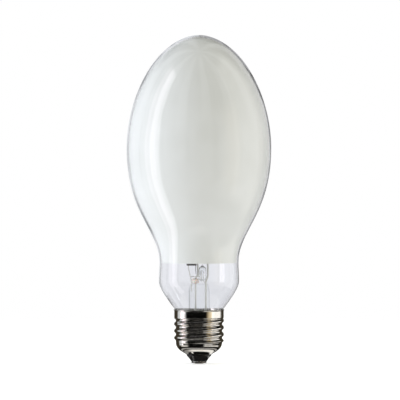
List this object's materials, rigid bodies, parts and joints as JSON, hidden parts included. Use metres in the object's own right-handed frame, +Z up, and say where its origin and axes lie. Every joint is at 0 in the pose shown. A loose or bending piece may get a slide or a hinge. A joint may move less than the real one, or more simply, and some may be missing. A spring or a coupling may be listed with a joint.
{
  "type": "high pressure sodium lamp",
  "caption": "White-coated elliptical discharge lamp with clear glass neck, Edison screw cap, glass stem mount and sealed arc tube.",
  "frame": {"origin": "centre of the flat of the centre contact's solder, the lamp's lowest point", "axes": "+Z up the lamp's axis from the contact to the dome, +X the side of the return rod (right in the picture), -Y the front"},
  "size_m": [0.076, 0.076, 0.173],
  "materials": {
    "bulb_glass": "clear blown glass, smooth",
    "mount_glass": "clear pressed and drawn glass",
    "white_coating": "matt white diffusing powder on the inside of the glass",
    "nickel_plate": "bright nickel-plated brass sheet, slightly warm",
    "black_glass": "glossy black cast glass",
    "solder": "dull grey solder",
    "cement": "matt buff capping cement",
    "nickel_wire": "drawn nickel-plated wire and strip",
    "bimetal": "dark rolled strip",
    "steatite": "matt pinkish cream ceramic",
    "alumina": "translucent white sintered alumina",
    "niobium": "satin grey metal tube",
    "tungsten": "dark grey drawn metal",
    "amalgam": "bright silvery pellet"
  },
  "bodies": {
    "root": {"outer_bulb": "bulb_glass", "diffuser_coating": "white_coating", "cap_shell": "nickel_plate", "cap_insulator": "black_glass", "centre_contact": "nickel_plate", "contact_solder": "solder", "rim_solder": "solder", "capping_cement": "cement", "glass_stem": "mount_glass", "pump_tube": "mount_glass", "contact_lead": "nickel_wire", "shell_lead": "nickel_wire", "frame_rod": "nickel_wire", "return_rod": "nickel_wire", "switch_post": "nickel_wire", "switch_bridge": "bimetal", "bimetal_blade": "bimetal", "ceramic_bead": "steatite", "starter_bulb": "mount_glass", "starter_lead_left": "nickel_wire", "starter_lead_right": "nickel_wire", "starter_contact": "bimetal", "getter_ring": "bimetal", "getter_arm": "nickel_wire", "arc_tube": "alumina", "lower_end_plug": "alumina", "upper_end_plug": "alumina", "lower_feedthrough": "niobium", "upper_feedthrough": "niobium", "lower_electrode": "tungsten", "upper_electrode": "tungsten", "amalgam_pellet": "amalgam", "ignition_coil": "tungsten", "lower_strap": "nickel_wire", "upper_strap": "nickel_wire", "top_spring": "nickel_wire"}
  },
  "joints": []
}
